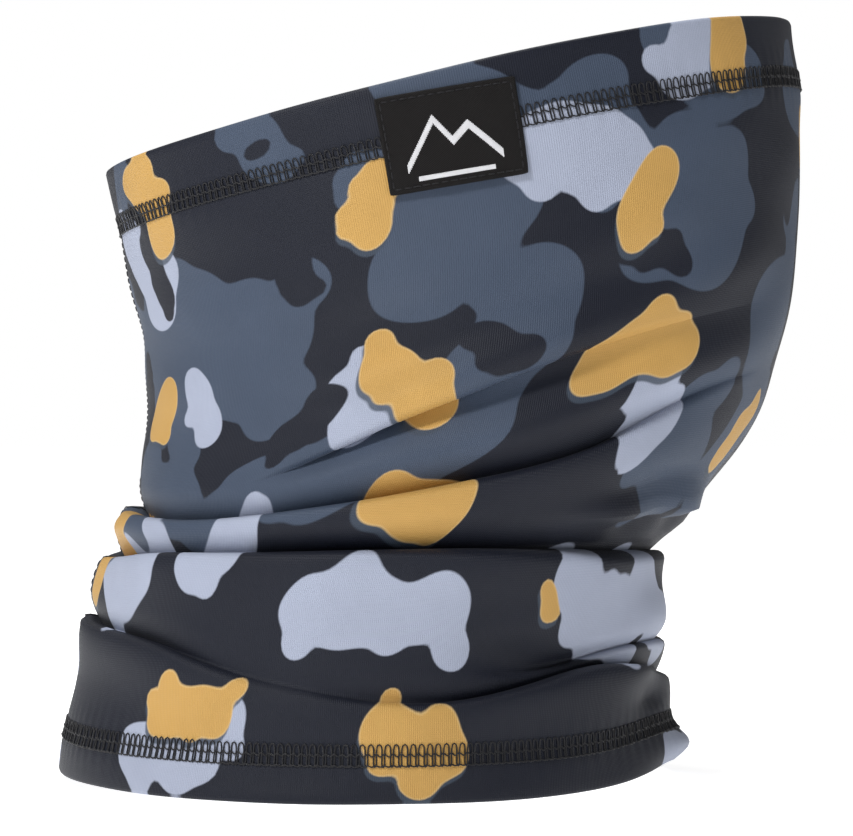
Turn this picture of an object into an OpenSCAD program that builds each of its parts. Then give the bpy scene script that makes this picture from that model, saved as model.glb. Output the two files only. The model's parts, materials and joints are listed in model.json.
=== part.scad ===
// Neck gaiter: a stretch-knit tube worn over the nose, with its lower half bunched into rolls round the neck.
// Frame: origin at the centre of the bottom opening, +X to the wearer's face, +Y to the wearer's left, +Z up.
// Everything is laid out on one surface, skin_point(v, phi, out): v runs up the tube in mm, phi goes round it
// from the nose (0) by the wearer's left (90) and the nape (180), and out is the distance outside the cloth.

/* [Tube] */
// Height of the top edge at the nape
nape_height = 173; // [168:1:178]
// Height of the top edge over the nose
nose_height = 216; // [211:1:221]
// Front-to-back size of the bottom opening
base_depth = 180; // [174:1:186]
// Side-to-side size of the bottom opening
base_width = 160; // [154:1:166]
// Side-to-side size of the neck, between the rolls and the jaw
neck_width = 146; // [142:1:152]
// Side-to-side size of the top opening
top_width = 148; // [144:1:154]
// How much narrower the tube is at the nose than at the nape, as a share of its width
nose_taper = 0.10; // [0.06:0.01:0.14]
// Thickness of the knit cloth
cloth = 0.9; // [0.7:0.1:1.1]

/* [Zones] */
// Height of the bunched collar, which rests on the shoulders
collar_height = 58; // [54:1:60]
// Depth of the taut band below the top edge that moves as one when it is pulled down
face_band = 44; // [42:1:46]

/* [Hems and seam] */
// Depth of cloth turned in at the top hem
top_hem = 20; // [18:1:22]
// Depth of cloth turned in at the bottom hem
bottom_hem = 16; // [14:1:18]
// Width of the stitched band
stitch_width = 6; // [5:0.5:6.5]
// Thickness of the sewing thread
thread = 0.3; // [0.2:0.05:0.4]

/* [Woven patch] */
// Width of the patch on the wearer's right cheek
patch_width = 37.5; // [34:0.5:40]
// Height of the patch
patch_height = 26; // [24:0.5:27]
// Distance from the top edge down to the middle of the patch
patch_drop = 18.5; // [17:0.5:20]
// Distance that the middle of the patch lies behind the middle of the cheek
patch_back = 3; // [0:0.5:6]
// Angle the patch is sewn at, against the hem
patch_turn = -2.5; // [-4:0.5:0]
// Thickness of the patch
patch_thick = 0.5; // [0.3:0.1:0.6]

/* [Care label] */
// Length of the label inside the nape, from its sewn edge to its free end
label_length = 28; // [24:1:30]
// Height of the label
label_height = 18; // [16:1:20]
// Thickness of the folded label
label_thick = 0.4; // [0.3:0.1:0.5]
// Angle between the label and the seam's own plane when it hangs free
label_rest = 17; // [15:1:25]

/* [Hidden] */

navy = [0.06, 0.07, 0.10];
slate = [0.20, 0.23, 0.28];
black = [0.02, 0.02, 0.025];
white = [0.85, 0.85, 0.86];

round_steps = 56;
row_step = 3;
throat_row_step = 6;
gap = 0.1;
half_top = top_width / 2;
half_neck = neck_width / 2;
half_base = base_width / 2;

// The three rolls of the bunched collar: how high each lies, and how far it stands proud
rolls = [[13, 2.5], [39, 5], [70, 4]];
roll_spread = 6;

// Nape, chin-to-nose and side lines of the tube under its rolls, as [height, distance from the origin]: the
// flare to the shoulders, the hollow of the neck, then the flare over the jaw and the back of the head
nape_profile = [[0, -base_depth / 2], [50, -80], [80, -69], [110, -65.5], [nape_height, -78.4]];
face_profile = [[0, base_depth / 2 - 4], [40, 80], [60, 82], [95, 106], [130, 120], [190, 124], [nose_height, 120]];
side_profile = [
    [0, half_base - 1], [40, half_base - 5], [60, half_base - 4], [85, half_neck], [145, half_neck],
    [180, half_top], [200, half_top - 0.5]
];

// A smooth curve through the keys of a profile, with the rolls standing out from it
function key_index(keys, z, i = 0) =
    (i >= len(keys) - 2 || z < keys[i + 1][0]) ? i : key_index(keys, z, i + 1);
function key_slope(keys, i) =
    let (a = keys[max(i - 1, 0)], b = keys[min(i + 1, len(keys) - 1)]) (b[1] - a[1]) / (b[0] - a[0]);
function bulge(z, i = 0) =
    i == len(rolls) ? 0 : rolls[i][1] * exp(-pow((z - rolls[i][0]) / roll_spread, 2)) + bulge(z, i + 1);
function at(keys, z) =
    let (i = key_index(keys, z), h = keys[i + 1][0] - keys[i][0], s = min(max((z - keys[i][0]) / h, 0), 1))
    keys[i][1] * (1 + 2 * s) * pow(1 - s, 2) + keys[i + 1][1] * s * s * (3 - 2 * s)
    + h * (key_slope(keys, i) * s * pow(1 - s, 2) - key_slope(keys, i + 1) * s * s * (1 - s))
    + sign(keys[0][1]) * bulge(z);
function blend(a, b, s) = a + (b - a) * s;

// The top edge and the lower edge of the face band lie in planes that rise from the nape to the nose
top_tilt = atan((nose_height - nape_height) / (at(face_profile, nose_height) - at(nape_profile, nape_height)));
top_level = cos(top_tilt) * nape_height - sin(top_tilt) * at(nape_profile, nape_height);
face_level = top_level - face_band;
// Height at which a tilted plane meets a profile, homed in on step by step
first_guess = 150;
function meet(keys, level, z = first_guess, n = 8) =
    n == 0 ? z : meet(keys, level, (level + sin(top_tilt) * at(keys, z)) / cos(top_tilt), n - 1);
face_nape_z = meet(nape_profile, face_level);
face_nose_z = meet(face_profile, face_level);
throat_length = (face_nape_z + face_nose_z) / 2 - collar_height;
face_start = collar_height + throat_length;
top_v = face_start + face_band;

// The tube's surface
function edge_z(keys, face_z, v) =
    v <= collar_height ? v
    : v <= face_start ? blend(collar_height, face_z, (v - collar_height) / throat_length)
    : meet(keys, face_level + v - face_start);
function skin_point(v, phi, out) =
    let (zb = edge_z(nape_profile, face_nape_z, v), zf = edge_z(face_profile, face_nose_z, v),
         back = [at(nape_profile, zb), zb], front = [at(face_profile, zf), zf],
         mid = (back + front) / 2, half = norm(front - back) / 2, along = (front - back) / (2 * half),
         taper = nose_taper * min(v / top_v, 1),
         p = mid + along * (half + out) * cos(phi))
    [p[0], (at(side_profile, mid[1]) + out) * sin(phi) * (1 - taper * cos(phi)), p[1]];
function half_depth(v) = norm(skin_point(v, 0, 0) - skin_point(v, 180, 0)) / 2;
function ring(v, out) = [for (j = [0:round_steps - 1]) skin_point(v, j * 360 / round_steps, out)];

// The levels of each zone's rows, with rows at every edge in a hem. span gives the stretch of such a list
// between two levels, so that layers laid on one another share their rows and never touch.
function even_levels(v0, v1, step) = let (n = round((v1 - v0) / step)) [for (k = [0:n]) blend(v0, v1, k / n)];
function hem_rows(depth) = [0, (depth - stitch_width) / 2, depth - stitch_width, depth - stitch_width / 2, depth];
throat_levels = even_levels(collar_height, face_start, throat_row_step);
collar_levels = concat(
    hem_rows(bottom_hem), [for (v = even_levels(bottom_hem, collar_height, row_step)) if (v > bottom_hem) v]);
face_levels = concat(
    [for (v = even_levels(face_start, top_v - top_hem, row_step)) if (v < top_v - top_hem) v],
    [for (k = [4:-1:0]) top_v - hem_rows(top_hem)[k]]);
function span(levels, v0, v1) =
    concat([v0], [for (v = levels) if (v > v0 + 0.5 && v < v1 - 0.5) v], [v1]);

// A closed skin over a loop of rings, each a loop of points
module ring_skin(rings) {
    n = len(rings[0]);
    m = len(rings);
    polyhedron(
        points = [for (r = rings) each r],
        faces = [for (i = [0:m - 1], j = [0:n - 1])
            let (i2 = (i + 1) % m, j2 = (j + 1) % n)
            each [[i * n + j, i * n + j2, i2 * n + j2], [i * n + j, i2 * n + j2, i2 * n + j]]],
        convexity = 10);
}
// A closed skin over a stack of loops, with flat ends
module stack_skin(rings) {
    n = len(rings[0]);
    m = len(rings);
    polyhedron(
        points = [for (r = rings) each r],
        faces = concat(
            [for (i = [0:m - 2], j = [0:n - 1])
                let (j2 = (j + 1) % n)
                each [[i * n + j, (i + 1) * n + j2, i * n + j2], [i * n + j, (i + 1) * n + j, (i + 1) * n + j2]]],
            [for (j = [1:n - 2]) [0, j, j + 1]],
            [for (j = [1:n - 2]) [(m - 1) * n, (m - 1) * n + j + 1, (m - 1) * n + j]]),
        convexity = 10);
}
// A length of tube wall over a list of levels, with its outer side out mm off the cloth and thick mm deep
module wall(levels, out, thick) {
    last = len(levels) - 1;
    ring_skin(concat(
        [for (v = levels) ring(v, out)],
        [for (k = [last:-1:0]) ring(levels[k], out - thick)]));
}
// A strip up the nape, wide mm across and turned turn degrees off the middle
module nape_strip(levels, out, thick, wide, turn = 0) {
    half_angle = wide / (2 * half_neck) * 180 / PI;
    across = [for (side = [-1:1]) 180 + turn + side * half_angle];
    stack_skin([for (v = levels) concat(
        [for (k = [0:2]) skin_point(v, across[k], out)],
        [for (k = [2:-1:0]) skin_point(v, across[k], out - thick)])]);
}

// Cloth: one tube, in the three zones that move differently
module face_section() { color(slate) wall(face_levels, 0, cloth); }
module throat_section() { color(slate) wall(span(throat_levels, collar_height + gap, face_start - gap), 0, cloth); }
module collar_section() { color(navy) wall(collar_levels, 0, cloth); }

// Hems: the turned-in cloth lies just inside the tube wall
turn_out = -cloth - gap;
module top_hem_turn_in() { color(navy) wall(span(face_levels, top_v - top_hem, top_v), turn_out, cloth); }
module bottom_hem_turn_in() { color(navy) wall(span(collar_levels, 0, bottom_hem), turn_out, cloth); }

// Hem stitching: the cover thread's ladder lies outside, and three needle threads run inside the turned-in cloth
top_stitch = top_v - top_hem + stitch_width / 2;
bottom_stitch = bottom_hem - stitch_width / 2;
needle_out = turn_out - cloth - gap - thread / 2;
needle_pitch = 0.44 * stitch_width;
module cover_band(levels, v_mid) {
    color(black)
        wall(span(levels, v_mid - stitch_width / 2, v_mid + stitch_width / 2), gap + thread, thread);
}
module needle_row(v_mid, row) {
    r = thread / 2;
    v = v_mid + row * needle_pitch;
    color(black)
        ring_skin([for (q = [45:90:315]) ring(v + r * cos(q), needle_out + r * sin(q))]);
}
module top_cover_thread() { cover_band(face_levels, top_stitch); }
module top_needle_thread_upper() { needle_row(top_stitch, 1); }
module top_needle_thread_middle() { needle_row(top_stitch, 0); }
module top_needle_thread_lower() { needle_row(top_stitch, -1); }
module bottom_cover_thread() { cover_band(collar_levels, bottom_stitch); }
module bottom_needle_thread_upper() { needle_row(bottom_stitch, 1); }
module bottom_needle_thread_middle() { needle_row(bottom_stitch, 0); }
module bottom_needle_thread_lower() { needle_row(bottom_stitch, -1); }

// Back seam: the panel's two edges meet at the nape under a flat cover stitch that runs from hem to hem
seam_bottom = bottom_stitch + stitch_width / 2 + 0.5;
seam_top = top_stitch - stitch_width / 2 - 0.5;
seam_needle_turn = 1.8;
seam_inner_gap = 0.3;
module seam_cover(levels) { color(black) nape_strip(levels, gap + thread, thread, stitch_width); }
module seam_needles(levels) {
    color(black)
        for (row = [-1:1])
            nape_strip(levels, -cloth - seam_inner_gap, thread, thread, row * seam_needle_turn);
}
collar_seam = span(collar_levels, seam_bottom, collar_height - gap);
throat_seam = span(throat_levels, collar_height + gap, face_start - gap);
face_seam = span(face_levels, face_start + gap, seam_top);
module back_seam_cover_face() { seam_cover(face_seam); }
module back_seam_cover_throat() { seam_cover(throat_seam); }
module back_seam_cover_collar() { seam_cover(collar_seam); }
module back_seam_needles_face() { seam_needles(face_seam); }
module back_seam_needles_throat() { seam_needles(throat_seam); }
module back_seam_needles_collar() { seam_needles(collar_seam); }

// Woven patch on the right cheek: x runs forward and y up along the cloth from the patch's middle
patch_v = top_v - patch_drop;
patch_out = 3 * gap + thread;
patch_depth = half_depth(patch_v);
function patch_point(x, y, out) =
    let (c = cos(patch_turn), s = sin(patch_turn))
    skin_point(patch_v + s * x + c * y, 270 + (c * x - s * y - patch_back) / patch_depth * 180 / PI, out);
module side_patch() {
    columns = 8;
    rows = 4;
    color(black)
        stack_skin([for (i = [0:columns])
            let (x = patch_width * (i / columns - 0.5))
            concat(
                [for (j = [0:rows]) patch_point(x, patch_height * (j / rows - 0.5), patch_out)],
                [for (j = [rows:-1:0]) patch_point(x, patch_height * (j / rows - 0.5), patch_out + patch_thick)])]);
}
// The patch's woven motif: a two-peaked ridge over a short line, as raised yarn
yarn_in = patch_out + patch_thick + gap;
yarn_out = yarn_in + 0.15;
yarn_step = 2;
function dense(points) = concat(
    [for (k = [0:len(points) - 2])
        let (n = ceil(norm(points[k + 1] - points[k]) / yarn_step))
        for (i = [0:n - 1]) blend(points[k], points[k + 1], i / n)],
    [points[len(points) - 1]]);
module yarn_line(points, wide) {
    color(white)
        stack_skin([for (p = dense(points))
            [patch_point(p[0], p[1] - wide / 2, yarn_in), patch_point(p[0], p[1] + wide / 2, yarn_in),
             patch_point(p[0], p[1] + wide / 2, yarn_out), patch_point(p[0], p[1] - wide / 2, yarn_out)]]);
}
module side_patch_motif() {
    w = 0.34 * patch_width;
    h = 0.26 * patch_height;
    ridge_yarn = 2.4;
    base_yarn = 1.2;
    yarn_line([[-w, -h], [-0.35 * w, 0.75 * h], [0, -0.2 * h], [0.35 * w, 0.35 * h], [w, -h]], ridge_yarn);
    yarn_line([[-0.8 * w, -1.45 * h], [0.8 * w, -1.45 * h]], base_yarn);
}
module side_patch_stitching() {
    r = thread / 2;
    inset = 1.5;
    side_steps = 8;
    corners = [[-1, -1], [1, -1], [1, 1], [-1, 1]];
    color(black)
        ring_skin([for (q = [45:90:315])
            let (dx = patch_width / 2 - inset + r * cos(q), dy = patch_height / 2 - inset + r * cos(q))
            [for (k = [0:3], i = [0:side_steps - 1])
                let (c = blend(corners[k], corners[(k + 1) % 4], i / side_steps))
                patch_point(c[0] * dx, c[1] * dy, yarn_in + r + r * sin(q))]]);
}

// Care label: a folded tape sewn to the inside of the seam by one edge, about which it swings
label_start = face_start + 2.5;
label_foot = skin_point(label_start, 180, 0);
label_head = skin_point(label_start + label_height, 180, 0);
label_lean = atan((label_head[0] - label_foot[0]) / (label_head[2] - label_foot[2]));
label_inset = cloth + seam_inner_gap + thread + 0.9;
tack_end = 0.4;
module at_label() {
    translate([label_foot[0] + label_inset, 0, label_foot[2]]) rotate([0, label_lean, 0]) children();
}
module care_label() {
    color(white)
        at_label()
            rotate([0, 0, -label_rest])
                translate([-label_thick / 2, 2 * thread, 0]) cube([label_thick, label_length, label_height]);
}
module care_label_tack() {
    color(black)
        at_label()
            translate([0, 0, tack_end]) cylinder(h = label_height - 2 * tack_end, r = thread, $fn = 24);
}

face_section();
throat_section();
collar_section();
top_hem_turn_in();
bottom_hem_turn_in();
top_cover_thread();
top_needle_thread_upper();
top_needle_thread_middle();
top_needle_thread_lower();
bottom_cover_thread();
bottom_needle_thread_upper();
bottom_needle_thread_middle();
bottom_needle_thread_lower();
back_seam_cover_face();
back_seam_cover_throat();
back_seam_cover_collar();
back_seam_needles_face();
back_seam_needles_throat();
back_seam_needles_collar();
side_patch();
side_patch_motif();
side_patch_stitching();
care_label();
care_label_tack();
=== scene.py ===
"""Neck gaiter: one folded, printed knit tube, its stitched hems and seam, a woven patch and a care label.

Lengths in this script are millimetres, on the frame's axes, until a mesh is made. phi goes round the tube in
degrees from the right cheek (0) by the nose (90) and the left cheek (180) to the nape (-90 or 270). v is the
height up the cloth, level with the shoulders at the bottom and with the tilted top edge at the top.
"""

import json
import math
import bmesh
import bpy
import numpy as np
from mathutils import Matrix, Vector


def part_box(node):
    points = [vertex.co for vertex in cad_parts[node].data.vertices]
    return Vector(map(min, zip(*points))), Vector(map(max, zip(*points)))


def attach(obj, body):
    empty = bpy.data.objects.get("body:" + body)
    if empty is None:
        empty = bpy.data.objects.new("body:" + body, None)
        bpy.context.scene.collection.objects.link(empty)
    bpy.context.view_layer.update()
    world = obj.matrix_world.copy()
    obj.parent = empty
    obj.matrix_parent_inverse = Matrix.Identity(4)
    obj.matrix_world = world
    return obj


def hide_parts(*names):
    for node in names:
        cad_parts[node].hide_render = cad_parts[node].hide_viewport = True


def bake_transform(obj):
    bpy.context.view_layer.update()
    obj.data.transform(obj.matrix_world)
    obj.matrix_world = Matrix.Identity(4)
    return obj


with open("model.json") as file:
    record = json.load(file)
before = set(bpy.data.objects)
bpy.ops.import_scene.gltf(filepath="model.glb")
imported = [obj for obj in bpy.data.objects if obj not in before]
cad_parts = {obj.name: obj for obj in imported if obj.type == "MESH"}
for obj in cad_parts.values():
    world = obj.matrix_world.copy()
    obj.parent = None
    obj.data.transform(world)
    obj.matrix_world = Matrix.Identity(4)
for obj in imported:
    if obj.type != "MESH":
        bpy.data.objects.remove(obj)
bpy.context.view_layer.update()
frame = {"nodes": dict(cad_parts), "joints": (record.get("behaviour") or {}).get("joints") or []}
MM = 0.001
SEED = 11


# ---------------------------------------------------------------- the tube's own shape

# (height, x) down the nape and down the face, and (height, y) down the cheeks
NAPE_LINE = [(0, -90), (50, -80), (80, -69), (110, -65.5), (173, -78.4)]
FACE_LINE = [(0, 86), (40, 82), (60, 82), (95, 106), (130, 120), (190, 124), (216, 120)]
CHEEK_LINE = [(0, 79), (40, 76), (85, 73), (145, 73), (180, 74), (200, 73.5)]
NOSE_TAPER = 0.10
COLLAR_TOP = 58.0
FACE_BAND = 44.0
CLOTH = 0.9
TOP_HEM = 20.0
BOTTOM_HEM = 16.0
STITCH = 6.0
THREAD = 0.21
MEAN_RADIUS = 88.0

pull = next(j for j in frame["joints"] if j["name"] == "pull_down")
TILT = math.atan2(pull["axis"][0], -pull["axis"][2])


def curve(keys, x):
    """Smooth curve through (position, value) keys, level beyond the end keys."""
    k = np.array(keys, float)
    slope = np.gradient(k[:, 1], k[:, 0])
    x = np.clip(x, k[0, 0], k[-1, 0])
    i = np.clip(np.searchsorted(k[:, 0], x, side="right") - 1, 0, len(k) - 2)
    h = k[i + 1, 0] - k[i, 0]
    s = (x - k[i, 0]) / h
    value = k[i, 1] * (1 + 2 * s) * (1 - s) ** 2 + k[i + 1, 1] * s * s * (3 - 2 * s)
    return value + h * (slope[i] * s * (1 - s) ** 2 - slope[i + 1] * s * s * (1 - s))


def meet(keys, level):
    """Height at which the tilted plane at a level crosses a line of the tube."""
    z = np.full_like(np.asarray(level, float), 150.0)
    for _ in range(12):
        z = (level + math.sin(TILT) * curve(keys, z)) / math.cos(TILT)
    return z


TOP_LEVEL = math.cos(TILT) * NAPE_LINE[-1][0] - math.sin(TILT) * NAPE_LINE[-1][1]
FACE_LEVEL = TOP_LEVEL - FACE_BAND
NAPE_START = float(meet(NAPE_LINE, FACE_LEVEL))
NOSE_START = float(meet(FACE_LINE, FACE_LEVEL))
FACE_START = (NAPE_START + NOSE_START) / 2
TOP_V = FACE_START + FACE_BAND
TOP_STITCH = TOP_V - TOP_HEM + STITCH / 2
BOTTOM_STITCH = BOTTOM_HEM - STITCH / 2


def line_height(keys, start, v):
    t = np.clip((v - COLLAR_TOP) / (FACE_START - COLLAR_TOP), 0, 1)
    low = np.where(v <= COLLAR_TOP, v, COLLAR_TOP + (start - COLLAR_TOP) * t)
    return np.where(v <= FACE_START, low, meet(keys, FACE_LEVEL + v - FACE_START))


def tube(phi, v):
    """Points of the unfolded tube."""
    phi, v = np.broadcast_arrays(np.asarray(phi, float), np.asarray(v, float))
    around = np.radians(phi + 270)
    z_nape, z_face = line_height(NAPE_LINE, NAPE_START, v), line_height(FACE_LINE, NOSE_START, v)
    x_nape, x_face = curve(NAPE_LINE, z_nape), curve(FACE_LINE, z_face)
    x_mid, z_mid = (x_nape + x_face) / 2, (z_nape + z_face) / 2
    taper = NOSE_TAPER * np.clip(v / TOP_V, 0, 1)
    x = x_mid + (x_face - x_nape) / 2 * np.cos(around)
    z = z_mid + (z_face - z_nape) / 2 * np.cos(around)
    y = curve(CHEEK_LINE, z_mid) * np.sin(around) * (1 - taper * np.cos(around))
    return np.stack([x, y, z], -1)


def unit(a):
    return a / np.maximum(np.linalg.norm(a, axis=-1, keepdims=True), 1e-9)


def tube_normal(phi, v):
    across = tube(phi + 0.25, v) - tube(phi - 0.25, v)
    up = tube(phi, np.minimum(v + 0.4, TOP_V)) - tube(phi, np.maximum(v - 0.4, 0))
    return unit(np.cross(across, up))


def wrap(phi):
    return (np.asarray(phi, float) + 90) % 360 - 90


def signed(phi):
    return (np.asarray(phi, float) + 180) % 360 - 180


# ---------------------------------------------------------------- the folds

# Each fold is a crease round the tube. level gives (phi, v) along it, and strength gives (phi, share) of its
# depth and crest. A tucked crease goes behind the crest of cloth below it, a hooded one has its crest above
FOLDS = [
    dict(name="collar_tuck", hooded=False, depth=4.5, crest=3.0, reach=9, fade=11, lift=1.8,
         level=[(-90, 44), (-45, 40), (-15, 31), (10, 26), (50, 33), (90, 26), (140, 33), (180, 29),
                (270, 44)],
         strength=[(-90, 1), (-45, 0.8), (-15, 0.15), (10, 0.7), (50, 1), (90, 0.7), (140, 0.9), (180, 0.2),
                   (220, 0.8), (270, 1)]),
    dict(name="throat_pinch", hooded=False, depth=2.6, crest=1.5, reach=6, fade=5, lift=1.2,
         level=[(-90, 53), (0, 38), (30, 34), (60, 38), (90, 38), (160, 45), (270, 53)],
         strength=[(-90, 0), (20, 0), (45, 1), (90, 0.8), (130, 0), (165, 0), (190, 0.8), (235, 0),
                   (270, 0)]),
    dict(name="collar_fold", hooded=False, depth=7.0, crest=3.2, reach=11, fade=14, lift=2.0,
         level=[(-90, 61), (-45, 65), (0, 66), (60, 62), (90, 61), (130, 58), (200, 66), (270, 61)],
         strength=[(-90, 0.9), (0, 1), (60, 0.9), (90, 0.5), (140, 0.8), (190, 1), (270, 0.9)]),
    dict(name="jaw_tuck", hooded=False, depth=6.5, crest=3.4, reach=12, fade=13, lift=2.2,
         level=[(-90, 80), (-45, 76), (0, 82), (25, 88), (50, 102), (90, 104), (145, 88), (210, 76),
                (270, 80)],
         strength=[(-90, 0.8), (-50, 1), (0, 0.9), (30, 0.5), (55, 0.1), (90, 0), (130, 0.4), (170, 1),
                   (270, 0.8)]),
    dict(name="cheek_pleat", hooded=True, depth=4.2, crest=1.8, reach=10, fade=16, lift=1.6,
         level=[(-90, 90), (-35, 88), (-10, 103), (20, 115), (90, 121), (165, 108), (225, 92), (270, 90)],
         strength=[(-90, 0), (-38, 0), (-12, 1), (10, 0.6), (35, 0.2), (60, 0), (125, 0), (175, 1),
                   (225, 0), (270, 0)]),
]
TUCK_WIDTH = 2.4
CREST_WIDTH = 1.5
RISE_WIDTH = 1.4
SHALLOW, DEEPENING = 1.2, 2.4


def crease_levels(phi):
    return [curve(f["level"], wrap(phi)) for f in FOLDS]


def crease_shape(fold, phi, v):
    """How far one crease pushes the cloth out, and how far it lifts it, at material level v. A shallow crease
    isn't lifted over itself, because its pocket would be thinner than the cloth."""
    a = wrap(phi)
    s = v - curve(fold["level"], a)
    if fold["hooded"]:
        s = -s
    share = np.clip(curve(fold["strength"], a), 0, 1.1)
    depth, crest = fold["depth"] * share, fold["crest"] * share
    valley = -depth * (1 - np.clip(s / fold["reach"], 0, 1)) ** 2
    r = np.maximum(-s, 0)
    tuck = -depth * (1 - np.clip(r / TUCK_WIDTH, 0, 1)) ** 2
    lip = tuck + crest * (1 - np.exp(-r / CREST_WIDTH)) * np.exp(-(r / fold["fade"]) ** 2)
    share_up = np.clip((depth - SHALLOW) / DEEPENING, 0, 1)
    rise = fold["lift"] * share_up * (r / RISE_WIDTH) * np.exp(1 - r / RISE_WIDTH)
    out = np.where(s >= 0, valley, lip)
    up = np.where(s >= 0, 0, rise)
    return out, -up if fold["hooded"] else up


# Small crumples, as (phi, v, degrees across, mm up, turn, height): the knot under the jaw on the right side,
# its like on the left, lumps at the nape and the foot, the crushed front of the bottom roll, the flat face
CRUMPLES = [
    (30, 37, 12, 6, 0, -4.5), (44, 74, 10, 3, 0.3, 4.2), (56, 69, 8, 3, -0.5, -4.8),
    (66, 75, 8, 3, 0.8, 4.2), (52, 80, 10, 3, 0.3, -2.6), (78, 70, 8, 4, -0.3, 1.6),
    (135, 70, 12, 4, -0.4, 2.2), (120, 78, 9, 3, 0.5, -1.8), (-75, 73, 10, 4, 0.2, 1.6),
    (-68, 66, 8, 3, -0.2, -1.2), (-105, 70, 9, 4, -0.3, 1.6), (86, 5, 16, 6, 0.4, 6.0),
    (70, 22, 8, 4, 0.5, -2.6), (62, 30, 9, 4, 0.4, 2.0), (74, 46, 16, 8, 0, 2.4),
    (88, -3, 20, 4, 0, -3.0), (195, 36, 12, 6, 0, -2.6), (105, 30, 10, 6, 0.3, 1.8),
    (230, 20, 12, 5, 0.2, -1.4), (-88, 8, 34, 12, 0, 2.4), (90, 140, 40, 25, 0, -2.4),
    (60, 78, 6, 2.5, 0.6, 2.2), (71, 70, 6, 2.5, -0.3, -2.4),
]
RUMPLES = ((7, 0.11, 0.4), (11, -0.17, 2.1), (5, 0.23, 4.0), (9, 0.07, 5.2))
RUMPLE = 0.22
RIDGE = 1.8
SEAM_SINK = 0.35
STITCH_SINK = 0.3


def drape(phi, v):
    """Soft pulls, hollows and puckers that aren't creases."""
    a = np.radians(phi)
    push = 0.5 * np.sin(3 * a + 0.035 * v + 0.6) * np.exp(-((v - 130) / 45) ** 2)
    upper = np.clip((v - 84) / 20, 0, 1) * np.clip((150 - v) / 40, 0, 1)
    for centre, wide in ((15, 42), (160, 40)):
        ridges = np.sin(v / 3.6 - 6.0 * np.sin(a - 0.2))
        push = push + RIDGE * ridges * upper * np.exp(-(signed(phi - centre) / wide) ** 2)
    for turns, slant, phase in RUMPLES:
        push = push + RUMPLE * np.sin(turns * a + slant * v + phase)
    for p0, v0, across, up, turn, height in CRUMPLES:
        x, y = signed(phi - p0) / across, (v - v0) / up
        c, s = math.cos(turn), math.sin(turn)
        push = push + height * np.exp(-((c * x + s * y) ** 2 + (c * y - s * x) ** 2))
    for level in (TOP_STITCH, BOTTOM_STITCH):
        push = push - STITCH_SINK * np.exp(-((v - level) / 3.2) ** 2)
        push = push + 0.14 * np.sin(phi * 1.9) * np.exp(-((v - level) / 7) ** 2)
    seam = signed(phi + 90) * math.pi / 180 * MEAN_RADIUS
    return push - SEAM_SINK * np.exp(-(seam / 3.4) ** 2)


EDGE_LIFT = 1.2
EDGE_SAG, SAG_PHI = 2.8, -50
TIP_LIFT = 3.0


def folded(phi, v, out=0.0):
    """Points of the worn, folded cloth's outer face, out mm above it."""
    phi, v = np.broadcast_arrays(np.asarray(phi, float), np.asarray(v, float))
    push, lift = np.zeros(phi.shape), np.zeros(phi.shape)
    for fold in FOLDS:
        out_here, up_here = crease_shape(fold, phi, v)
        push, lift = push + out_here, lift + up_here
    push = push + drape(phi, v)
    tip = TIP_LIFT * np.exp(-(signed(phi - 72) / 22) ** 2) * np.exp(-(v / 30) ** 2)
    sag = EDGE_SAG * np.cos(np.radians(phi - SAG_PHI)) ** 2 * np.exp(-((TOP_V - v) / 14) ** 2)
    level = np.clip(v + lift + tip - sag, 0, TOP_V)
    points = tube(phi, level) + tube_normal(phi, v) * (push + out)[..., None]
    points[..., 2] += EDGE_LIFT * np.exp(-(v / 6) ** 2)
    return points


def cloth_frame(phi, v, out):
    """Points out mm above the folded cloth along its own normal, and those normals."""
    here = folded(phi, v)
    across = folded(phi + 0.4, v) - folded(phi - 0.4, v)
    up = folded(phi, v + 0.4) - folded(phi, v - 0.4)
    normal = unit(np.cross(across, up))
    return here + normal * np.asarray(out)[..., None], normal


# ---------------------------------------------------------------- meshes

class Pile:
    """Collects points and faces of one mesh."""

    def __init__(self):
        self.points, self.faces, self.count = [], [], 0

    def add(self, points, faces):
        self.points.append(points)
        self.faces += [tuple(int(i) + self.count for i in f) for f in faces]
        self.count += len(points)

    def make(self, name, material):
        mesh = bpy.data.meshes.new(name)
        mesh.from_pydata((np.concatenate(self.points) * MM).tolist(), [], self.faces)
        edit = bmesh.new()
        edit.from_mesh(mesh)
        bmesh.ops.recalc_face_normals(edit, faces=edit.faces)
        edit.to_mesh(mesh)
        edit.free()
        mesh.shade_smooth()
        mesh.materials.append(material)
        obj = bpy.data.objects.new(name, mesh)
        bpy.context.scene.collection.objects.link(obj)
        return obj


def quads(rows, columns, loop_rows, loop_columns):
    """Faces between the points of a grid, closed either way round where asked."""
    down = np.arange(rows if loop_rows else rows - 1)
    along = np.arange(columns if loop_columns else columns - 1)
    j, i = np.meshgrid(down, along, indexing="ij")
    j2, i2 = (j + 1) % rows, (i + 1) % columns
    at = [j * columns + i, j * columns + i2, j2 * columns + i2, j2 * columns + i]
    return np.stack(at, -1).reshape(-1, 4).tolist()


def sweep(pile, points, normals, across, out, closed, sides=6):
    """An oval thread along a path, across mm and out mm in radius."""
    step = np.roll(points, -1, 0) - np.roll(points, 1, 0) if closed else np.gradient(points, axis=0)
    along = unit(step)
    side = unit(np.cross(along, normals))
    rise = np.cross(side, along)
    across, out = np.broadcast_to(across, len(points)), np.broadcast_to(out, len(points))
    rings = []
    for k in range(sides):
        q = 2 * math.pi * k / sides
        rings.append(points + side * (across * math.cos(q))[:, None] + rise * (out * math.sin(q))[:, None])
    grid = np.stack(rings, 1)
    faces = quads(len(points), sides, closed, True)
    if not closed:
        faces += [list(range(sides)), [(len(points) - 1) * sides + k for k in range(sides)][::-1]]
    pile.add(grid.reshape(-1, 3), faces)


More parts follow.
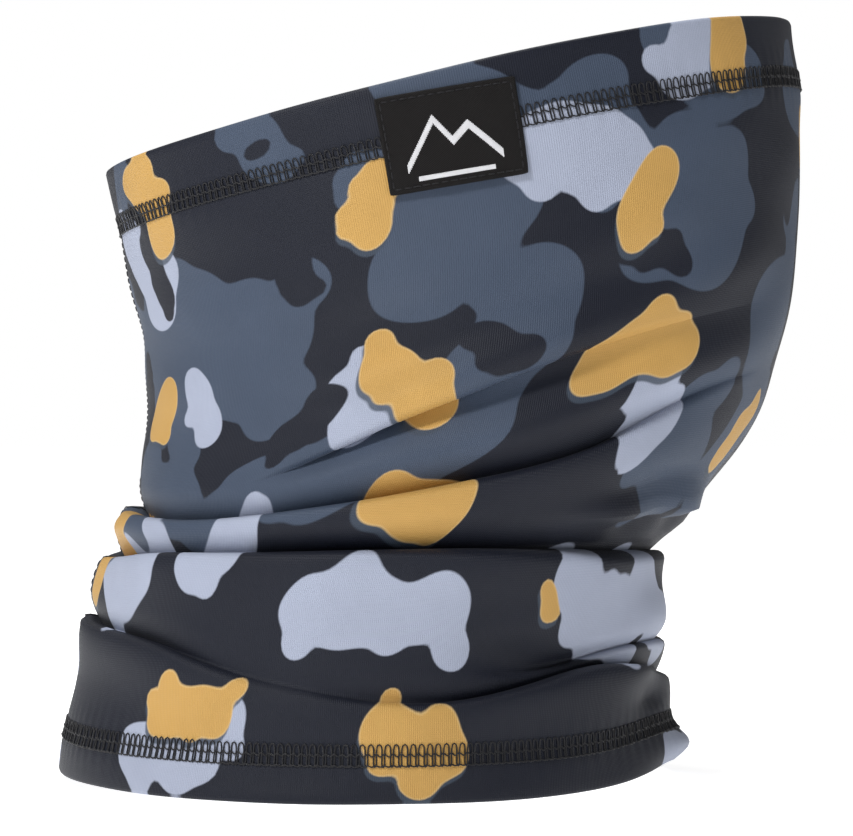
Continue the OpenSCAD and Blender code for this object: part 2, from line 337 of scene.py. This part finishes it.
def sheet(pile, top, bottom):
    """A closed sheet between two grids of points."""
    rows, columns = top.shape[:2]
    face = quads(rows, columns, False, False)
    base = rows * columns
    rim = [i for i in range(columns)] + [j * columns + columns - 1 for j in range(1, rows)]
    rim += [(rows - 1) * columns + i for i in range(columns - 2, -1, -1)]
    rim += [j * columns for j in range(rows - 2, 0, -1)]
    faces = face + [[base + i for i in reversed(f)] for f in face]
    for a, b in zip(rim, rim[1:] + rim[:1]):
        faces.append([a, b, base + b, base + a])
    pile.add(np.concatenate([top.reshape(-1, 3), bottom.reshape(-1, 3)]), faces)


def flat_uv(obj, uv_of_vertex):
    """UVs in millimetres, from one (u, v) for each vertex; a face across the nape is kept whole."""
    mesh = obj.data
    layer = mesh.uv_layers.new(name="cloth_mm")
    loop = np.empty(len(mesh.loops), int)
    mesh.loops.foreach_get("vertex_index", loop)
    uv = uv_of_vertex[loop].reshape(-1, 4, 2)
    turn = 2 * math.pi * MEAN_RADIUS
    uv[..., 0] += turn * (uv[..., 0].max(1, keepdims=True) - uv[..., 0] > turn / 2)
    layer.data.foreach_set("uv", uv.reshape(-1))


# ---------------------------------------------------------------- the print

# A camouflage on a navy ground. Each colour has a few large masses, set out on a grid of 10 degrees and 10 mm
# as (phi, v, length in mm, slant in degrees), and a count of smaller ones that the seed puts where there is
# room. fat is half the width of a full-size mass, long its length, low the height where small ones begin
PRINT = {
    "slate": dict(fat=16.0, long=38.0, count=36, low=80, large=[
        (-50, 150, 50, 0), (-50, 120, 50, 0), (0, 140, 30, 0), (40, 140, 30, 0), (10, 100, 50, 20)]),
    "lavender": dict(fat=10.0, long=30.0, count=22, low=0, large=[
        (20, 170, 30, 0), (40, 190, 20, 60), (0, 50, 40, 0), (-60, 50, 30, -40), (50, 50, 30, -20)]),
    "navy": dict(fat=4.0, long=18.0, count=26, low=80, large=[]),
    "mustard": dict(fat=7.0, long=20.0, count=30, low=0, large=[
        (-60, 180, 20, 90), (-10, 120, 20, 20), (30, 110, 30, 0), (0, 80, 20, 0), (10, 20, 20, 0)]),
}
TRIES = 10
ROOM = 48.0
SMALLEST = 0.25
SIZES = (0.3, 1.2)
MELT = 1.2
REACH = 14.0


def room_at(places, phi, v):
    """Distance in mm, along the cloth, from a place to the nearest of some others."""
    if not places:
        return ROOM
    around = [math.radians(signed(p[0] - phi)) * MEAN_RADIUS for p in places]
    return min(math.hypot(a, p[1] - v) for a, p in zip(around, places))


def scatter(rng, kind):
    """The masses of one colour: its large ones, then each smaller one in the roomiest of a few random places
    and no bigger than the room there allows."""
    masses = [(phi, v, length, slant, kind["fat"]) for phi, v, length, slant in kind["large"]]
    for _ in range(kind["count"]):
        options = [(rng.uniform(-90, 270), rng.uniform(kind["low"], TOP_V)) for _ in range(TRIES)]
        room, place = max((room_at(masses, *option), option) for option in options)
        size = min(max(room / ROOM * rng.uniform(*SIZES), SMALLEST), 1.0)
        masses.append((*place, kind["long"] * size, rng.uniform(0, 180), kind["fat"] * size))
    return masses


def grow_mass(rng, phi, v, length, turn, fat):
    """Circles (mm round the tube, v, radius) of one rounded mass along a wandering line."""
    count = max(2, int(round(length / max(fat * 0.8, 2))) + 1)
    angle = math.radians(turn)
    middle = np.array([math.radians(phi) * MEAN_RADIUS, v])
    place = middle - 0.5 * length * np.array([math.cos(angle), math.sin(angle)])
    circles = []
    for _ in range(count):
        radius = fat * rng.uniform(0.62, 1.12)
        circles.append((place[0], place[1], radius))
        if rng.random() < 0.5:
            swerve = angle + rng.choice([-1, 1]) * rng.uniform(1.0, 1.8)
            reach = radius * rng.uniform(0.8, 1.4)
            side = place + reach * np.array([math.cos(swerve), math.sin(swerve)])
            circles.append((side[0], side[1], radius * rng.uniform(0.45, 0.7)))
        angle += rng.uniform(-0.7, 0.7)
        place = place + length / (count - 1) * np.array([math.cos(angle), math.sin(angle)])
    return circles


def grow_print():
    rng = np.random.default_rng(SEED)
    layers = {}
    for colour, kind in PRINT.items():
        circles = []
        for mass in scatter(rng, kind):
            circles += grow_mass(rng, *mass)
        layers[colour] = np.array(circles)
    return layers


def mass_distance(circles, u, v):
    """Distance in mm outside the melted outline of the circles, less than 0 inside, on a grid whose first
    axis goes round the tube. A circle is only felt within REACH of it."""
    turn = 2 * math.pi * MEAN_RADIUS
    column_u = u[:, 0]
    u = u + 1.6 * np.sin(v / 11 + 0.8) + 0.7 * np.sin(v / 4.3 + u / 9)
    v = v + 1.4 * np.sin(u / 13) + 0.6 * np.sin(u / 5.1 + 1.7)
    total = np.zeros(u.shape)
    for cu, cv, radius in circles:
        away = np.abs((column_u - cu + turn / 2) % turn - turn / 2)
        near = np.flatnonzero(away < radius + REACH)
        du = (u[near] - cu + turn / 2) % turn - turn / 2
        d = np.hypot(du, v[near] - cv) - radius
        total[near] += np.exp(-np.clip(d, -20, 30) / MELT)
    return -MELT * np.log(np.maximum(total, 1e-6))


def paint_print(obj, u, v, row_of):
    """Stores the print's fields on the cloth's points, whose loops lie on rows row_of of the u, v grid."""
    layers = grow_print()
    fields = {name: mass_distance(circles, u, v) for name, circles in layers.items()}
    fields["shadow"] = mass_distance(layers["mustard"], u + 0.5, v + 1.6)
    for name, values in fields.items():
        data = obj.data.attributes.new(name, "FLOAT", "POINT")
        data.data.foreach_set("value", np.concatenate([values[:, r] for r in row_of]).astype(np.float32))


# ---------------------------------------------------------------- the cloth

COLUMNS = 400
ROWS = [24, 10, 26, 24, 22, 76]


def row_levels(phi):
    """Material levels of the cloth's rows at each phi, close together where a crease turns sharply."""
    stops = [np.zeros_like(phi)] + crease_levels(phi) + [np.full_like(phi, TOP_V)]
    rows = []
    for k, count in enumerate(ROWS):
        t = np.arange(count) / count
        hooded_below = k > 0 and FOLDS[k - 1]["hooded"]
        t = t ** 1.35 if hooded_below else 1 - (1 - t) ** 1.6
        rows += [stops[k] + (stops[k + 1] - stops[k]) * s for s in t]
    rows.append(stops[-1])
    return np.stack(rows, 1)


def hem_depth_at(v):
    """Thickness of the cloth, which is doubled in the turned hems."""
    top = np.clip((v - (TOP_V - TOP_HEM)) / 1.0, 0, 1)
    bottom = np.clip((BOTTOM_HEM - v) / 1.0, 0, 1)
    return CLOTH * (1 + np.maximum(top, bottom))


def build_cloth(print_material, reverse_material):
    phi = -90 + 360 * np.arange(COLUMNS) / COLUMNS
    levels = row_levels(phi)
    grid_phi = np.repeat(phi[:, None], levels.shape[1], 1)
    outer = folded(grid_phi, levels)
    across = np.roll(outer, -1, 0) - np.roll(outer, 1, 0)
    step = unit(np.diff(outer, axis=1))
    up = unit(np.concatenate([step[:, :1], step[:, :-1] + step[:, 1:], step[:, -1:]], axis=1))
    normal = unit(np.cross(across, up))
    thick = hem_depth_at(levels)[..., None]
    inner = outer - normal * thick

    def rim(j, sign):
        mid, half = (outer[:, j] + inner[:, j]) / 2, thick[:, j] / 2
        return [mid + normal[:, j] * half * math.cos(q) + up[:, j] * sign * half * math.sin(q)
                for q in (math.pi / 4, math.pi / 2, 3 * math.pi / 4)]

    last = outer.shape[1] - 1
    loops = [outer[:, j] for j in range(last + 1)] + rim(-1, 1)
    loops += [inner[:, j] for j in range(last, -1, -1)] + rim(0, -1)[::-1]
    row_of = list(range(last + 1)) + [last] * 3 + list(range(last, -1, -1)) + [0] * 3
    pile = Pile()
    pile.add(np.concatenate(loops), quads(len(loops), COLUMNS, True, True))
    obj = pile.make("knit_tube", print_material)
    obj.data.materials.append(reverse_material)
    inside = np.repeat(np.arange(len(loops)) > last + 1, COLUMNS)
    inside[-3 * COLUMNS:] = False
    obj.data.polygons.foreach_set("material_index", inside.astype(np.int32))
    v = np.concatenate([levels[:, r] for r in row_of])
    u = np.tile(np.radians(phi) * MEAN_RADIUS, len(loops))
    paint_print(obj, np.radians(grid_phi) * MEAN_RADIUS, levels, row_of)
    flat_uv(obj, np.stack([u, v], 1))
    return obj


# ---------------------------------------------------------------- stitches

# One stitch of the looper thread, as (share of the stitch, mm up): a round-topped cell above, a foot below
LOOPER = [(0.0, 0), (0.02, 1.6), (0.10, 2.6), (0.35, 3.0), (0.60, 2.6), (0.68, 1.6), (0.70, 0),
          (0.68, -2.0), (0.74, -2.8), (0.85, -3.0), (0.96, -2.8), (1.02, -2.0)]
STITCH_LENGTH = 2.1
NEEDLE_ROWS = {"upper": 2.6, "middle": 0.0, "lower": -2.6}


def stitch_count(v):
    edge = tube(np.arange(0, 360, 2.0), v)
    return int(round(np.linalg.norm(np.roll(edge, -1, 0) - edge, axis=1).sum() / STITCH_LENGTH))


def hem_cover(name, v_mid, material):
    """The looper's ladder round a hem, with the threads that run along its middle and its foot."""
    n = stitch_count(v_mid)
    x = np.array([k + p[0] for k in range(n) for p in LOOPER])
    y = np.array([p[1] for _ in range(n) for p in LOOPER])
    height = THREAD * (0.9 + 0.5 * np.cos(2 * math.pi * x) ** 2)
    pile = Pile()
    points, normals = cloth_frame(-90 + 360 * x / n, v_mid + y, height)
    sweep(pile, points, normals, THREAD, THREAD * 0.85, True, sides=5)
    x = np.arange(n * 6) / 6
    over = THREAD * (1.6 + 0.5 * np.sin(2 * math.pi * x))
    for row, sway in ((0.15, 0.35), (-2.75, 0.18)):
        level = v_mid + row + sway * np.cos(2 * math.pi * x)
        points, normals = cloth_frame(-90 + 360 * x / n, level, over)
        sweep(pile, points, normals, THREAD, THREAD * 0.85, True, sides=5)
    return pile.make(name, material)


BAR = np.array([-0.5, -0.3, 0.0, 0.3, 0.5])
BAR_FAT = np.array([0.35, 0.9, 1.0, 0.9, 0.35])


def dashes(pile, place, count, length, out):
    """A row of stitches, each a short domed bar. place(t) gives (phi, v) at t stitches along the row."""
    t = (np.arange(count)[:, None] + 0.5 + BAR * length).ravel()
    fat = np.tile(BAR_FAT, count)
    phi, v = place(t)
    points, normals = cloth_frame(phi, v, out + THREAD * (1 - fat) * 0.6)
    for k in range(count):
        part = slice(len(BAR) * k, len(BAR) * (k + 1))
        sweep(pile, points[part], normals[part], THREAD * fat[part], THREAD * fat[part], False, sides=5)


def hem_needles(name, v_row, material):
    n = stitch_count(v_row)
    pile = Pile()
    dashes(pile, lambda t: (-90 + 360 * t / n, np.full(len(t), v_row)), n, 0.72, -2 * CLOTH - 0.12)
    return pile.make(name, material)


def nape_phi(x):
    return -90 + np.degrees(np.asarray(x, float) / MEAN_RADIUS) * 1.35


def back_seam(material):
    """The flat cover stitch up the nape: the looper's ladder outside, three needle threads inside."""
    low, high = BOTTOM_STITCH + STITCH / 2 + 0.8, TOP_STITCH - STITCH / 2 - 0.8
    n = int((high - low) / STITCH_LENGTH)
    t = np.array([k + p[0] for k in range(n) for p in LOOPER])
    x = np.array([p[1] for _ in range(n) for p in LOOPER]) * 0.9
    v = low + (high - low) * t / n
    cover = Pile()
    points, normals = cloth_frame(nape_phi(x), v, np.full(len(v), THREAD * 1.2))
    sweep(cover, points, normals, THREAD, THREAD * 0.85, False, sides=5)
    needles = Pile()
    for row in NEEDLE_ROWS.values():
        def place(s, row=row):
            return nape_phi(np.full(s.shape, row * 0.9)), low + (high - low) * s / n
        dashes(needles, place, n, 0.72, -CLOTH - 0.12)
    return cover.make("back_seam_cover", material), needles.make("back_seam_needles", material)


# ---------------------------------------------------------------- the patch

PATCH_W, PATCH_H, PATCH_T = 37.5, 26.0, 0.5
PATCH_V = TOP_V - 18.5
PATCH_BACK = 3.0
PATCH_TURN = math.radians(-2.5)
PATCH_OUT = 0.55
PATCH_ROUND = 0.8
PATCH_INSET = 1.4
PATCH_HALF_DEPTH = float(np.linalg.norm(tube(90, PATCH_V) - tube(-90, PATCH_V))) / 2


def patch_frame(x, y, out):
    """Points out mm above the cloth at x forward and y up from the patch's middle, and normals."""
    x, y = np.broadcast_arrays(np.asarray(x, float), np.asarray(y, float))
    c, s = math.cos(PATCH_TURN), math.sin(PATCH_TURN)
    phi = np.degrees((c * x - s * y - PATCH_BACK) / PATCH_HALF_DEPTH)
    v = PATCH_V + s * x + c * y
    return tube(phi, v) + tube_normal(phi, v) * np.asarray(out + 0.15)[..., None], tube_normal(phi, v)


def build_patch(weave, yarn, thread):
    columns, rows = 61, 43
    s, t = np.meshgrid(np.linspace(-1, 1, columns), np.linspace(-1, 1, rows), indexing="ij")
    ease = lambda a: np.sin(a * math.pi / 2) * 0.35 + a * 0.65
    x, y = ease(s) * PATCH_W / 2, ease(t) * PATCH_H / 2
    pull = PATCH_ROUND * 0.3 * (np.abs(s) ** 10) * (np.abs(t) ** 10)
    x, y = x - np.sign(x) * pull, y - np.sign(y) * pull
    edge = np.minimum(PATCH_W / 2 - np.abs(x), PATCH_H / 2 - np.abs(y))
    rolled = np.sqrt(np.clip(edge / 0.3, 0, 1) * (2 - np.clip(edge / 0.3, 0, 1)))
    folded_rim = 0.10 * np.exp(-((edge - 0.7) / 0.5) ** 2)
    stitched = -0.20 * np.exp(-((edge - PATCH_INSET) / 0.35) ** 2)
    ripple = 0.12 * np.sin(x * 0.55 + 0.6) * np.cos(y * 0.35)
    top, _ = patch_frame(x, y, PATCH_OUT + 0.12 + (PATCH_T + folded_rim + stitched + ripple) * rolled)
    bottom, _ = patch_frame(x, y, PATCH_OUT * np.ones(x.shape))
    pile = Pile()
    sheet(pile, top, bottom)
    patch = pile.make("woven_patch", weave)
    both = np.stack([np.concatenate([x.ravel()] * 2), np.concatenate([y.ravel()] * 2)], 1)
    flat_uv(patch, both)

    motif = Pile()
    w, h = 0.34 * PATCH_W, 0.26 * PATCH_H
    ridge = [(-w, -h), (-0.35 * w, 0.75 * h), (0, -0.2 * h), (0.35 * w, 0.35 * h), (w, -h)]
    for points, wide in ((ridge, 2.4), ([(-0.8 * w, -1.45 * h), (0.8 * w, -1.45 * h)], 1.2)):
        for x0 in np.arange(points[0][0], points[-1][0] + 0.01, 0.32):
            y0 = np.interp(x0, [p[0] for p in points], [p[1] for p in points])
            ys = np.linspace(-0.5, 0.5, 6) * wide * (1 + 0.03 * math.sin(9 * x0)) + y0
            dome = 0.10 * np.sqrt(1 - (np.linspace(-1, 1, 6) * 0.97) ** 2)
            centre, normal = patch_frame(np.full(6, x0), ys, PATCH_OUT + PATCH_T + 0.12 + dome)
            sweep(motif, centre, normal, 0.17, 0.17, False, sides=6)
    figure = motif.make("patch_motif", yarn)

    sewing = Pile()
    inset, pitch = PATCH_INSET, 2.5
    corners = [(-1, -1), (1, -1), (1, 1), (-1, 1)]
    for a, b in zip(corners, corners[1:] + corners[:1]):
        p = np.array(a) * (PATCH_W / 2 - inset, PATCH_H / 2 - inset)
        q = np.array(b) * (PATCH_W / 2 - inset, PATCH_H / 2 - inset)
        count = int(round(np.linalg.norm(q - p) / pitch))
        for k in range(count):
            f = (k + 0.5 + np.array([-0.4, -0.2, 0, 0.2, 0.4])) / count
            along = p[None] + (q - p)[None] * f[:, None]
            arch = np.array([-0.18, 0.06, 0.12, 0.06, -0.18])
            centre, normal = patch_frame(along[:, 0], along[:, 1], PATCH_OUT + PATCH_T + 0.02 + arch)
            sweep(sewing, centre, normal, 0.17, 0.17, False, sides=6)
    stitching = sewing.make("patch_stitching", thread)
    return patch, figure, stitching


# ---------------------------------------------------------------- the care label

LABEL_LENGTH, LABEL_HEIGHT, LABEL_REST = 28.0, 18.0, 17.0
LABEL_FOLD, LABEL_TAPE = 0.14, 0.14


def build_label(satin):
    """A tape folded double, so its free end is a loop, sewn along the hinge line at the nape."""
    swing = next(j for j in frame["joints"] if j["name"] == "care_label_swing")
    up = np.array(swing["axis"], float)
    low, high = (np.array(c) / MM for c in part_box("care_label_tack"))
    middle = (low + high) / 2
    back = unit(np.cross([0.0, 1.0, 0.0], up))
    rest = math.radians(LABEL_REST)
    out = back * math.sin(rest) + np.array([0.0, 1.0, 0.0]) * math.cos(rest)
    across = np.cross(up, out)
    reach = np.linspace(0.5, LABEL_LENGTH - 0.4, 28)
    turn = np.linspace(-math.pi / 2, math.pi / 2, 7)[1:-1]
    path = [(r, -LABEL_FOLD) for r in reach]
    path += [(reach[-1] + 0.25 * math.cos(q), LABEL_FOLD * math.sin(q)) for q in turn]
    path += [(r, LABEL_FOLD) for r in reach[::-1]]
    path = np.array(path)
    along = unit(np.gradient(path, axis=0))
    side = np.stack([along[:, 1], -along[:, 0]], 1)
    heights = np.linspace(-0.5, 0.5, 12) * LABEL_HEIGHT
    curl = lambda r, h: 0.5 * (r / LABEL_LENGTH) ** 2 * np.sin(h / 5.0 + 0.5)

    def layer(offset):
        p = path + side * offset
        r, h = np.meshgrid(p[:, 0], heights, indexing="ij")
        n = np.repeat(p[:, 1][:, None], len(heights), 1) + curl(r, h)
        return middle + r[..., None] * out + n[..., None] * across + h[..., None] * up

    pile = Pile()
    sheet(pile, layer(LABEL_TAPE / 2), layer(-LABEL_TAPE / 2))
    label = pile.make("folded_care_label", satin)
    r, h = np.meshgrid(path[:, 0], heights, indexing="ij")
    flat_uv(label, np.stack([np.concatenate([r.ravel()] * 2), np.concatenate([h.ravel()] * 2)], 1))
    return label


# ---------------------------------------------------------------- materials

class Shader:
    """A principled material, with short calls for the nodes that lead into it."""

    def __init__(self, name, roughness=0.8, sheen=0.0, specular=0.3):
        self.material = bpy.data.materials.new(name)
        self.material.use_nodes = True
        self.tree = self.material.node_tree
        self.surface = self.tree.nodes["Principled BSDF"]
        self.surface.inputs["Roughness"].default_value = roughness
        self.surface.inputs["Sheen Weight"].default_value = sheen
        self.surface.inputs["Sheen Roughness"].default_value = 0.4
        self.surface.inputs["Specular IOR Level"].default_value = specular

    def put(self, socket, value):
        if isinstance(value, bpy.types.NodeSocket):
            self.tree.links.new(value, socket)
        else:
            socket.default_value = value

    def math(self, operation, a, b=0.0, clamp=False):
        node = self.tree.nodes.new("ShaderNodeMath")
        node.operation, node.use_clamp = operation, clamp
        self.put(node.inputs[0], a)
        self.put(node.inputs[1], b)
        return node.outputs[0]

    def mix(self, share, a, b, kind="MIX"):
        node = self.tree.nodes.new("ShaderNodeMix")
        node.data_type, node.blend_type = "RGBA", kind
        self.put(node.inputs["Factor"], share)
        self.put(node.inputs[6], a)
        self.put(node.inputs[7], b)
        return node.outputs[2]

    def uv(self):
        """(u, v) in millimetres of cloth."""
        node = self.tree.nodes.new("ShaderNodeUVMap")
        node.uv_map = "cloth_mm"
        split = self.tree.nodes.new("ShaderNodeSeparateXYZ")
        self.tree.links.new(node.outputs[0], split.inputs[0])
        return split.outputs[0], split.outputs[1]

    def field(self, name):
        node = self.tree.nodes.new("ShaderNodeAttribute")
        node.attribute_name = name
        return node.outputs["Fac"]

    def inside(self, distance, soft=0.25):
        """1 inside an outline and 0 outside, from the distance to it in millimetres."""
        return self.math("SUBTRACT", 0.5, self.math("DIVIDE", distance, 2 * soft), clamp=True)

    def noise(self, per_metre, detail=3.0):
        where = self.tree.nodes.new("ShaderNodeTexCoord")
        node = self.tree.nodes.new("ShaderNodeTexNoise")
        node.inputs["Scale"].default_value, node.inputs["Detail"].default_value = per_metre, detail
        self.tree.links.new(where.outputs["Object"], node.inputs["Vector"])
        return node.outputs["Fac"]

    def wave(self, value, period):
        """A sine from 0 to 1 with a period in millimetres."""
        turn = self.math("MULTIPLY", value, 2 * math.pi / period)
        return self.math("MULTIPLY", self.math("ADD", self.math("SINE", turn), 1.0), 0.5)

    def vary(self, colour, share, per_metre):
        """Lightens and darkens a colour by a share, in soft patches."""
        value = self.math("ADD", 1 - share, self.math("MULTIPLY", self.noise(per_metre), 2 * share))
        grey = self.tree.nodes.new("ShaderNodeCombineColor")
        for socket in grey.inputs[:3]:
            self.put(socket, value)
        return self.mix(1.0, colour, grey.outputs[0], "MULTIPLY")

    def finish(self, colour, height, depth_mm, strength=1.0):
        bump = self.tree.nodes.new("ShaderNodeBump")
        bump.inputs["Distance"].default_value = depth_mm * MM
        bump.inputs["Strength"].default_value = strength
        self.put(bump.inputs["Height"], height)
        self.tree.links.new(bump.outputs[0], self.surface.inputs["Normal"])
        self.put(self.surface.inputs["Base Color"], colour)
        return self.material


def srgb(r, g, b):
    def linear(c):
        c = c / 255
        return c / 12.92 if c <= 0.04045 else ((c + 0.055) / 1.055) ** 2.4
    return linear(r), linear(g), linear(b), 1.0


NAVY, SLATE, LAVENDER = srgb(17, 21, 34), srgb(62, 73, 91), srgb(158, 165, 184)
MUSTARD, RIM, SHADE = srgb(188, 148, 82), srgb(204, 172, 118), srgb(58, 68, 82)
WALE, COURSE = 0.56, 0.5
GROOVE_SHADE = 0.16


def knit_height(shader):
    """Rows of v-shaped knit loops."""
    u, v = shader.uv()
    wale = shader.wave(u, WALE)
    lean = shader.math("MULTIPLY", shader.wave(u, WALE), COURSE * 0.5)
    course = shader.wave(shader.math("ADD", v, lean), COURSE)
    return shader.math("ADD", shader.math("MULTIPLY", wale, 0.65), shader.math("MULTIPLY", course, 0.35))


def printed_colour(shader):
    colour = shader.mix(shader.inside(shader.field("slate")), NAVY, SLATE)
    colour = shader.mix(shader.inside(shader.field("lavender")), colour, LAVENDER)
    colour = shader.mix(shader.inside(shader.field("navy")), colour, NAVY)
    colour = shader.mix(shader.math("MULTIPLY", shader.inside(shader.field("shadow")), 0.85), colour, SHADE)
    mustard = shader.field("mustard")
    colour = shader.mix(shader.inside(mustard), colour, RIM)
    return shader.mix(shader.inside(shader.math("ADD", mustard, 0.28)), colour, MUSTARD)


def knit_print():
    shader = Shader("printed_knit", roughness=0.55, sheen=0.04, specular=0.25)
    height = knit_height(shader)
    colour = shader.vary(printed_colour(shader), 0.10, 60)
    hollow = shader.math("MULTIPLY", shader.math("SUBTRACT", 1.0, height), GROOVE_SHADE)
    groove = shader.mix(hollow, colour, (0, 0, 0, 1))
    return shader.finish(groove, height, 0.11)


def knit_reverse():
    shader = Shader("knit_reverse", roughness=0.85, sheen=0.3)
    height = knit_height(shader)
    ghost = shader.mix(0.86, printed_colour(shader), srgb(176, 179, 186))
    return shader.finish(shader.vary(ghost, 0.06, 80), height, 0.14)


def thread_material():
    shader = Shader("black_thread", roughness=0.5, sheen=0.1)
    fibre = shader.noise(2600, 2)
    return shader.finish(shader.vary((0.007, 0.007, 0.009, 1), 0.25, 900), fibre, 0.06)


def damask_material():
    shader = Shader("woven_damask", roughness=0.75, sheen=0.0, specular=0.12)
    u, v = shader.uv()
    twill = shader.wave(shader.math("ADD", u, v), 0.55)
    weft = shader.wave(v, 0.28)
    height = shader.math("ADD", shader.math("MULTIPLY", twill, 0.7), shader.math("MULTIPLY", weft, 0.3))
    colour = shader.mix(twill, (0.003, 0.003, 0.003, 1), (0.020, 0.018, 0.018, 1))
    return shader.finish(shader.vary(colour, 0.12, 120), height, 0.2)


def yarn_material():
    shader = Shader("white_yarn", roughness=0.55, sheen=0.4)
    return shader.finish(shader.vary((0.62, 0.62, 0.64, 1), 0.14, 500), shader.noise(2200, 2), 0.05)


def satin_material():
    shader = Shader("label_satin", roughness=0.32, sheen=0.2)
    u, v = shader.uv()
    weave = shader.math("ADD", shader.wave(u, 0.3), shader.math("MULTIPLY", shader.wave(v, 0.16), 0.5))
    return shader.finish(shader.vary((0.80, 0.80, 0.78, 1), 0.04, 90), weave, 0.04)


# ---------------------------------------------------------------- stage

AMBIENT = 0.24
CAMERA_X, CAMERA_HEIGHT, CAMERA_DISTANCE = 14.9, 101.5, 800
VIEW_WIDTH = 247.4
SENSOR = 36


def build_camera():
    data = bpy.data.cameras.new("view")
    camera = bpy.data.objects.new("view", data)
    bpy.context.scene.collection.objects.link(camera)
    camera.location = Vector((CAMERA_X, -CAMERA_DISTANCE, CAMERA_HEIGHT)) * MM
    camera.rotation_euler = (math.pi / 2, 0, 0)
    data.sensor_width = SENSOR
    data.lens = SENSOR * CAMERA_DISTANCE / VIEW_WIDTH
    data.clip_start = 0.01
    bpy.context.scene.camera = camera


def area_light(name, place, aim, size, power):
    data = bpy.data.lights.new(name, "AREA")
    data.shape, data.size, data.energy = "DISK", size, power
    obj = bpy.data.objects.new(name, data)
    obj.location = place
    obj.rotation_euler = (Vector(aim) - Vector(place)).to_track_quat("-Z", "Y").to_euler()
    bpy.context.scene.collection.objects.link(obj)


def build_stage():
    pile = Pile()
    x, y = np.meshgrid(np.linspace(-9000, 9000, 9), np.linspace(-9000, 9000, 9), indexing="ij")
    pile.add(np.stack([x, y, np.full(x.shape, -1.5)], -1).reshape(-1, 3), quads(9, 9, False, False))
    shader = Shader("pale_floor", roughness=0.9)
    shader.surface.inputs["Emission Color"].default_value = (1, 1, 1, 1)
    shader.surface.inputs["Emission Strength"].default_value = 0.8
    pile.make("floor", shader.finish((0.9, 0.9, 0.9, 1), 0.0, 0.01))
    world = bpy.data.worlds.new("studio")
    world.use_nodes = True
    world.node_tree.nodes["Background"].inputs[0].default_value = (1, 1, 1, 1)
    links, nodes = world.node_tree.links, world.node_tree.nodes
    path, dim = nodes.new("ShaderNodeLightPath"), nodes.new("ShaderNodeMapRange")
    dim.inputs["To Min"].default_value, dim.inputs["To Max"].default_value = AMBIENT, 1.0
    links.new(path.outputs["Is Camera Ray"], dim.inputs["Value"])
    links.new(dim.outputs[0], nodes["Background"].inputs[1])
    bpy.context.scene.world = world
    bpy.context.scene.view_settings.view_transform = "Standard"
    area_light("key", (-0.55, -0.75, 0.95), (0, 0, 0.1), 0.25, 12)
    area_light("top", (-0.1, 0.25, 1.2), (0, 0, 0.1), 0.5, 8)


# ---------------------------------------------------------------- assembly


def ride_bunch(obj):
    """Bakes the placement of the cloth, and of what is sewn along it, into its mesh; it is parented to no
    body.
    """
    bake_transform(obj)


def place(obj, slot, body, *nodes):
    if body == "bunch":
        ride_bunch(obj)
    else:
        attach(obj, body)
    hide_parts(*nodes)


thread = thread_material()
cloth = build_cloth(knit_print(), knit_reverse())
place(cloth, "knit_print", "bunch", "face_section", "throat_section", "collar_section", "top_hem_turn_in",
      "bottom_hem_turn_in")
place(hem_cover("top_cover_stitch", TOP_STITCH, thread), "black_thread", "face_band", "top_cover_thread")
place(hem_cover("bottom_cover_stitch", BOTTOM_STITCH, thread), "black_thread", "bunch",
      "bottom_cover_thread")
for row, y in NEEDLE_ROWS.items():
    top = hem_needles("top_needle_stitches_" + row, TOP_STITCH + y, thread)
    place(top, "black_thread", "face_band", "top_needle_thread_" + row)
    bottom = hem_needles("bottom_needle_stitches_" + row, BOTTOM_STITCH + y, thread)
    place(bottom, "black_thread", "bunch", "bottom_needle_thread_" + row)
seam_cover, seam_needles = back_seam(thread)
place(seam_cover, "black_thread", "bunch", "back_seam_cover_face", "back_seam_cover_throat",
      "back_seam_cover_collar")
place(seam_needles, "black_thread", "bunch", "back_seam_needles_face", "back_seam_needles_throat",
      "back_seam_needles_collar")
patch, motif, stitching = build_patch(damask_material(), yarn_material(), thread)
place(patch, "patch_damask", "face_band", "side_patch")
place(motif, "patch_yarn", "face_band", "side_patch_motif")
place(stitching, "black_thread", "face_band", "side_patch_stitching")
place(build_label(satin_material()), "label_satin", "care_label", "care_label")
tack = frame["nodes"]["care_label_tack"]
tack.data.materials.clear()
tack.data.materials.append(thread)
build_stage()
build_camera()
